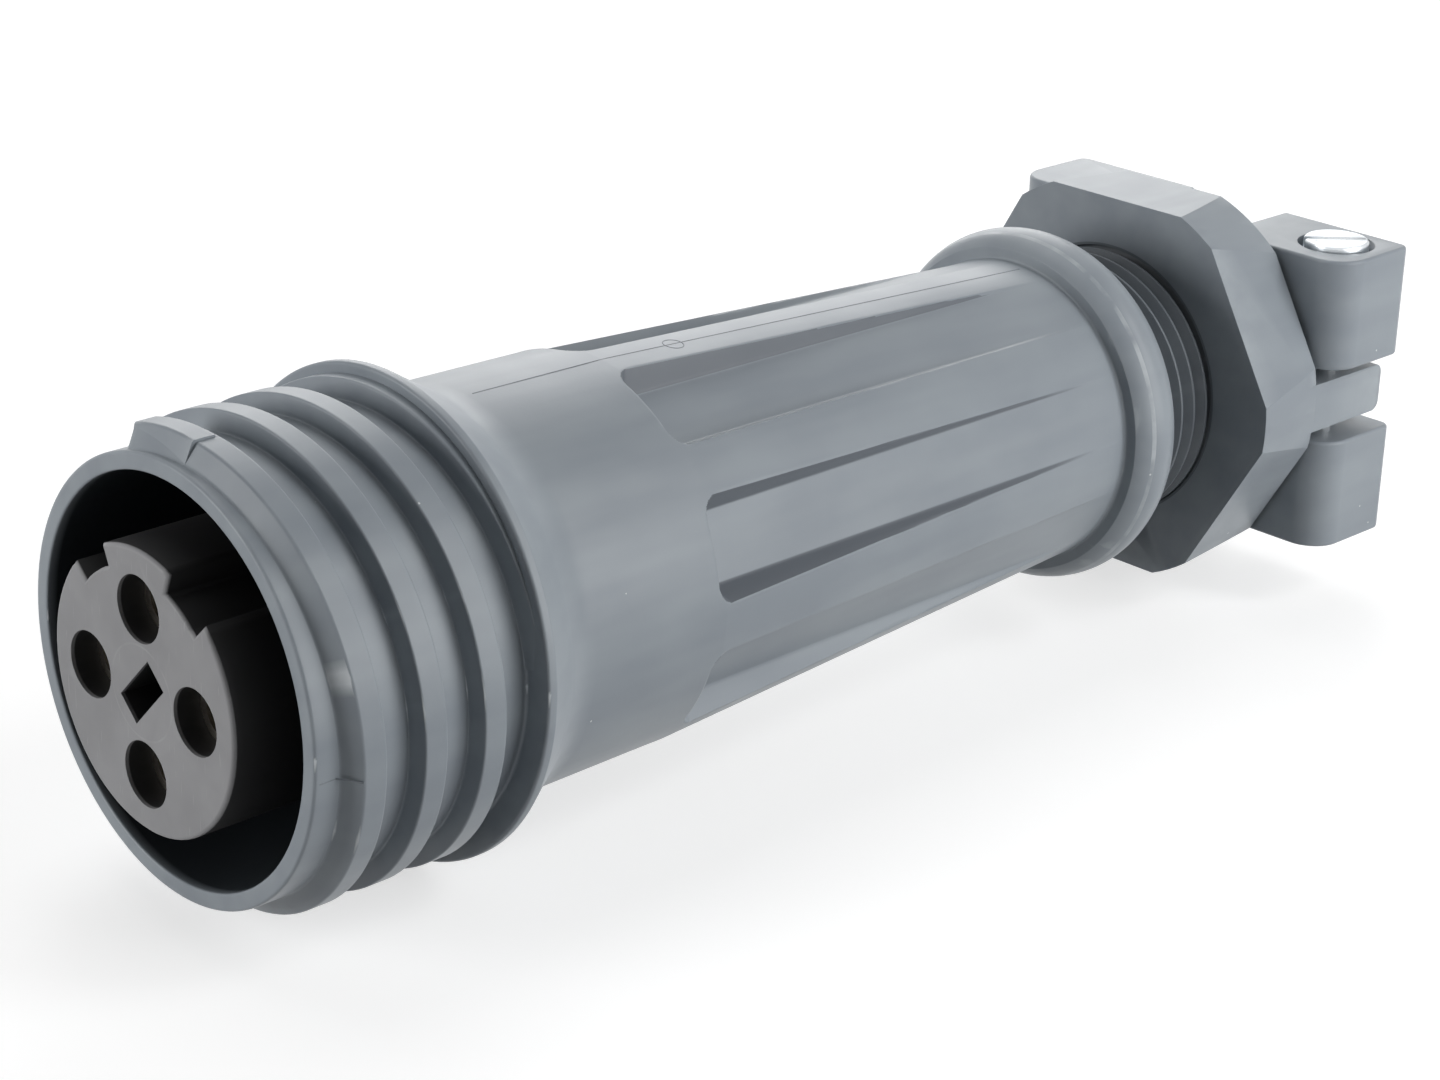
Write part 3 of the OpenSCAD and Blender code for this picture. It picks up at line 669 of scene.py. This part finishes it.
coupling = wound_ridge(
    "coupling_thread_ridge", CREST_R, COLLAR_R, CREST_W, FLANK, THREAD_EDGE, THREAD_EDGE,
    (RUN_OUT_X - 2 * FLANK - THREAD_X) / PITCH, PITCH, THREAD_START, THREAD_X + CREST_W / 2,
    RUN_OUT_X - RUN_OUT_GAP, FIRST_FLANK - FLANK)
block = wound_ridge(
    "thread_start_block", BLOCK_R, COLLAR_R, BLOCK_L - BLOCK_SLOPE, BLOCK_FLANK, BLOCK_EDGE, BLOCK_FILLET,
    (BLOCK_ANGLES[1] - BLOCK_ANGLES[0]) / 360, 0.0, BLOCK_ANGLES[1],
    BLOCK_X + (BLOCK_L + BLOCK_SLOPE) / 2, RUN_OUT_X, BLOCK_SLOPE - BLOCK_FLANK)
gland = wound_ridge(
    "gland_thread_ridge", SPIGOT_R, GLAND_ROOT_R, GLAND_CREST_W, GLAND_FLANK, GLAND_EDGE, GLAND_EDGE,
    (SPIGOT_END - GLAND_X - GLAND_TAIL) / GLAND_PITCH, GLAND_PITCH, GLAND_START, GLAND_X,
    SPIGOT_END - RUN_OUT_GAP)
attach(coupling, "housing")
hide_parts("coupling_thread")
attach(block, "housing")
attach(gland, "housing")


def turned(name, corners, material, columns=128):
    """A closed (x, r) outline spun once round the axis."""
    rows = rounded_outline(corners)
    points, faces = [], []
    for x, r in rows:
        for column in range(columns):
            a = 2 * math.pi * column / columns
            points.append((x, -r * math.cos(a), r * math.sin(a)))
    for row in range(len(rows)):
        below, above = row * columns, (row + 1) % len(rows) * columns
        for column in range(columns):
            right = (column + 1) % columns
            faces.append((below + column, above + column, above + right, below + right))
    mesh = bpy.data.meshes.new(name)
    mesh.from_pydata(points, [], faces)
    mesh.materials.append(material)
    return settled(name, mesh)


core = turned("gland_thread_core", [
    (BEAD_END - GLAND_LAP, SEAL_R, 0), (BEAD_END - GLAND_LAP, GLAND_ROOT_R, 0),
    (SPIGOT_END, GLAND_ROOT_R, GLAND_END_EDGE), (SPIGOT_END, SEAL_R, GLAND_BORE_EDGE)], grey_plastic)
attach(core, "housing")
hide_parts("rear_spigot")


# Slip washer, a hair clear of the nut that turns against it
washer_from, washer_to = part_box("thrust_washer")
washer_back = washer_to.x - WASHER_GAP
washer = turned("thrust_washer_turned", [
    (washer_from.x, WASHER_HOLE_R, WASHER_EDGE), (washer_from.x, washer_to.z, WASHER_EDGE),
    (washer_back, washer_to.z, WASHER_EDGE), (washer_back, WASHER_HOLE_R, WASHER_EDGE)], washer_plastic)
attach(washer, "thrust_washer")
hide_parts("thrust_washer")


# Mouldings whose CAD shape is kept, with their edges rounded

def rounded_copy(name, passes, material, sharp=28.0):
    """Copy of a CAD node: joined corners, whole flats, and each pass's sharp edges rounded by its width."""
    node = nodes[name]
    bm = bmesh.new()
    bm.from_mesh(node.data)
    bmesh.ops.transform(bm, matrix=node.matrix_world, verts=bm.verts)
    bmesh.ops.remove_doubles(bm, verts=bm.verts, dist=0.001 * MM)
    bmesh.ops.dissolve_limit(bm, angle_limit=math.radians(0.2), verts=bm.verts, edges=bm.edges)
    for width, chosen in passes:
        edges = [e for e in bm.edges if e.is_manifold and math.degrees(e.calc_face_angle(0)) > sharp
                 and chosen((e.verts[0].co + e.verts[1].co) / (2 * MM))]
        bmesh.ops.bevel(bm, geom=edges, offset=width, offset_type="OFFSET", segments=3, profile=0.5,
                        affect="EDGES", clamp_overlap=True, material=-1)
    bmesh.ops.recalc_face_normals(bm, faces=bm.faces)
    mesh = bpy.data.meshes.new(name + "_rounded")
    bm.to_mesh(mesh)
    bm.free()
    mesh.materials.clear()
    mesh.materials.append(material)
    piece = settled(name + "_rounded", mesh)
    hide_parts(name)
    return piece


def off_axis(p):
    """Distance of a point from the part's axis in millimetres."""
    return math.hypot(p.y, p.z)


def off_screw(p):
    """Distance of a point from the nearer clamp screw's middle line in millimetres."""
    return math.hypot(p.x - SCREW_X, abs(p.y) - SCREW_Y)


# Widths of the rounded edges, and in millimetres where the edges lie that get them
INSERT_RIM = 0.2 * MM
HOLE_RIM = 0.03 * MM
NUT_EDGE = 0.12 * MM
JAW_EDGE = 0.22 * MM
SCREW_EDGE = 0.18 * MM
INSERT_FACE = -1.49
INSERT_HOLES_R = 5.9
NUT_BORE_R = 8.6

insert = rounded_copy("contact_insert", [
    (INSERT_RIM, lambda p: p.x < INSERT_FACE and off_axis(p) > INSERT_HOLES_R),
    (HOLE_RIM, lambda p: p.x < INSERT_FACE and off_axis(p) < INSERT_HOLES_R)], insert_plastic)
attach(insert, "housing")
nut = rounded_copy("gland_nut", [(NUT_EDGE, lambda p: off_axis(p) > NUT_BORE_R)], grey_plastic, sharp=15.0)
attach(nut, "gland_nut")
for name in ("upper_jaw", "lower_jaw"):
    jaw = rounded_copy(name, [(JAW_EDGE, lambda p: off_screw(p) > JAW_HOLE_R)], grey_plastic)
    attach(jaw, name)
for name in ("clamp_screw_1", "clamp_screw_2"):
    screw = rounded_copy(name, [
        (SCREW_EDGE, lambda p: abs(p.z) > SCREW_HEAD_Z and off_screw(p) > SCREW_SHANK_R)], screw_metal)
    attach(screw, name)


# Lines left where the mould's parts met, and the ring of the gate on the top one

SEAM_R = 0.04 * MM
SEAM_SUNK = 0.02 * MM
MOULD_SPLIT = -5.9
GATE_X = 30.4 * MM
GATE_R = 0.55 * MM
GATE_STEPS = 24
SEAM_FROM = 17.2
SEAM_STEP = 0.8
SEAM_STEPS = 50
LIP_SEAM_X = 0.28 * MM
SEAM_BEFORE_FLANK = 0.25 * MM
SEAM_BEFORE_CREST = 0.05 * MM
FAR_FLANK = 0.7 * FIRST_FLANK


def at(x, r, degrees):
    """Point at a length, a radius and an angle round the axis."""
    a = math.radians(degrees)
    return (x, -r * math.cos(a), r * math.sin(a))


def land_radius(x):
    """Radius of the cone and of the barrel's lands."""
    cone_end = FLANGE_X + FLANGE_LAND + CONE_L
    if x < cone_end:
        return FLANGE_R - (FLANGE_R - CONE_FOOT_R) * (x - FLANGE_X - FLANGE_LAND) / CONE_L
    if x < TAPER_X:
        return CONE_FOOT_R - (CONE_FOOT_R - BARREL_R) * (x - cone_end) / (TAPER_X - cone_end)
    return BARREL_R - TAPER * (x - TAPER_X)


def seam_lines():
    """Paths of the flash lines: along the barrel above and below, and over the lip into the first groove."""
    lines = []
    for degrees in (MOULD_SPLIT + 90, MOULD_SPLIT - 90):
        steps = [(SEAM_FROM + SEAM_STEP * i) * MM for i in range(SEAM_STEPS + 1)]
        lines.append([at(x, land_radius(x) - SEAM_SUNK, degrees) for x in steps])
    for degrees in (MOULD_SPLIT, MOULD_SPLIT + 180):
        crest_x = THREAD_X + PITCH * ((THREAD_START - degrees) % 360) / 360
        flank = FIRST_FLANK if degrees == MOULD_SPLIT else FAR_FLANK
        places = [
            (LIP_SEAM_X, COLLAR_R), (crest_x - flank - SEAM_BEFORE_FLANK, COLLAR_R),
            (crest_x - SEAM_BEFORE_CREST, CREST_R)]
        lines.append([at(x, r - SEAM_SUNK, degrees) for x, r in places])
    gate = []
    for i in range(GATE_STEPS + 1):
        a = 2 * math.pi * i / GATE_STEPS
        x = GATE_X + GATE_R * math.cos(a)
        aside = math.degrees(GATE_R * math.sin(a) / land_radius(x))
        gate.append(at(x, land_radius(x) - SEAM_SUNK, MOULD_SPLIT + 90 + aside))
    lines.append(gate)
    points, edges = [], []
    for line in lines:
        edges += [(len(points) + i, len(points) + i + 1) for i in range(len(line) - 1)]
        points += line
    mesh = bpy.data.meshes.new("seam_paths")
    mesh.from_pydata(points, edges, [])
    return mesh


seam_tree, given = new_shape_tree("flash_line", {"Line radius": "Float", "Material": "Material"})
lines = add(seam_tree, "GeometryNodeMeshToCurve", {"Mesh": given["Mesh"]})
section = add(seam_tree, "GeometryNodeCurvePrimitiveCircle", {
    "Resolution": 6, "Radius": given["Line radius"]})
lines = add(seam_tree, "GeometryNodeCurveToMesh", {
    "Curve": lines, "Profile Curve": section, "Fill Caps": True})
finish_tree(seam_tree, lines, given["Material"])
seams = settled("flash_lines", seam_lines(), seam_tree, {"Line radius": SEAM_R, "Material": seam_plastic})
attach(seams, "housing")


# Camera, white surroundings, floor and lamps

def camera_turn(azimuth, elevation, roll):
    """World matrix of a camera that looks at the part from that side."""
    a, e, r = (math.radians(v) for v in (azimuth, elevation, roll))
    back = Vector((math.sin(a) * math.cos(e), -math.cos(a) * math.cos(e), math.sin(e)))
    right = Vector((0, 0, 1)).cross(back).normalized()
    up = back.cross(right)
    side = math.cos(r) * right + math.sin(r) * up
    top = math.cos(r) * up - math.sin(r) * right
    return Matrix((side, top, back)).transposed().to_4x4()


camera = bpy.data.objects.new("camera", bpy.data.cameras.new("camera"))
camera.data.sensor_width = SENSOR_W
camera.data.lens = FOCAL_PX / IMAGE_W * SENSOR_W
camera.data.clip_start = 1 * MM
camera.data.clip_end = 20.0
camera.matrix_world = Matrix.Translation(CAMERA_PLACE) @ camera_turn(
    CAMERA_AZIMUTH, CAMERA_ELEVATION, CAMERA_ROLL)
scene.collection.objects.link(camera)
scene.camera = camera
scene.view_settings.view_transform = "Standard"

FLOOR_Z = -FLANGE_R
FLOOR_SIZE = 3.0
FLOOR_GLOW = 0.62
FLOOR_NEAR = 150 * MM
FLOOR_FAR = 450 * MM
ROOM_LIGHT = 0.01


def seen_by_lens(tree):
    """1 for what the camera sees, straight, mirrored or through glass, and 0 for light on things."""
    path = add(tree, "ShaderNodeLightPath")
    mirrored = add(tree, MATH, {
        0: path.outputs["Is Glossy Ray"], 1: path.outputs["Is Transmission Ray"]}, operation="MAXIMUM")
    return add(tree, MATH, {0: path.outputs["Is Camera Ray"], 1: mirrored}, operation="MAXIMUM")


world = bpy.data.worlds.new("studio")
scene.world = world
world.use_nodes = True
tree = world.node_tree
tree.nodes.clear()
strength = add(tree, SPREAD, {"Value": seen_by_lens(tree), "To Min": ROOM_LIGHT, "To Max": 1.0})
add(tree, "ShaderNodeOutputWorld", {"Surface": add(tree, "ShaderNodeBackground", {
    "Color": (1, 1, 1, 1), "Strength": strength})})

floor_mesh = bpy.data.meshes.new("floor")
half = FLOOR_SIZE / 2
floor_mesh.from_pydata([
    (-half, -half, FLOOR_Z), (half, -half, FLOOR_Z), (half, half, FLOOR_Z), (-half, half, FLOOR_Z)],
    [], [(0, 1, 2, 3)])
floor = bpy.data.objects.new("floor", floor_mesh)
scene.collection.objects.link(floor)
# Matt white paper that keeps the part's shadow.
# Far off, where no lamp reaches, it is as white as the background
floor_material, tree = new_material("pale_floor")
away = add(tree, "ShaderNodeVectorMath", {
    0: add(tree, "ShaderNodeTexCoord").outputs["Object"]}, operation="LENGTH").outputs["Value"]
level = add(tree, SPREAD, {
    "Value": away, "From Min": FLOOR_NEAR, "From Max": FLOOR_FAR, "To Min": FLOOR_GLOW, "To Max": 1.0})
level = add(tree, MATH, {0: seen_by_lens(tree), 1: level}, operation="MULTIPLY")
glow = add(tree, "ShaderNodeEmission", {"Color": (1, 1, 1, 1), "Strength": level})
paper = add(tree, "ShaderNodeBsdfDiffuse", {"Color": linear("#c6c6c6")})
add(tree, "ShaderNodeOutputMaterial", {"Surface": add(tree, "ShaderNodeAddShader", {0: paper, 1: glow})})
floor.data.materials.append(floor_material)


LAMP_AIM = Vector((35, 0, 0)) * MM


def softbox(name, azimuth, elevation, size_mm, watts, reach_mm=450):
    """A square studio softbox that faces the part: azimuth 0 is the -Y side, 90 the +X side."""
    lamp = bpy.data.lights.new(name, "AREA")
    lamp.shape = "SQUARE"
    lamp.size = size_mm * MM
    lamp.energy = watts
    holder = bpy.data.objects.new(name, lamp)
    a, e = math.radians(azimuth), math.radians(elevation)
    out = Vector((math.sin(a) * math.cos(e), -math.cos(a) * math.cos(e), math.sin(e)))
    facing = (-out).to_track_quat("-Z", "Y").to_matrix().to_4x4()
    holder.matrix_world = Matrix.Translation(LAMP_AIM + reach_mm * MM * out) @ facing
    holder.visible_camera = False
    scene.collection.objects.link(holder)


# Bright walls to the right and behind, open dark room on the camera's side, as in a small photo tent
softbox("right_front", 22, 14, 110, 0.175, reach_mm=155)
softbox("high_right", 38, 44, 130, 0.42)
softbox("behind_left", 245, 12, 200, 1.2)
softbox("back_wall", 138, 22, 260, 0.5)
softbox("behind_right", 135, 45, 240, 0.4)
softbox("overhead_back", 180, 70, 240, 0.4)
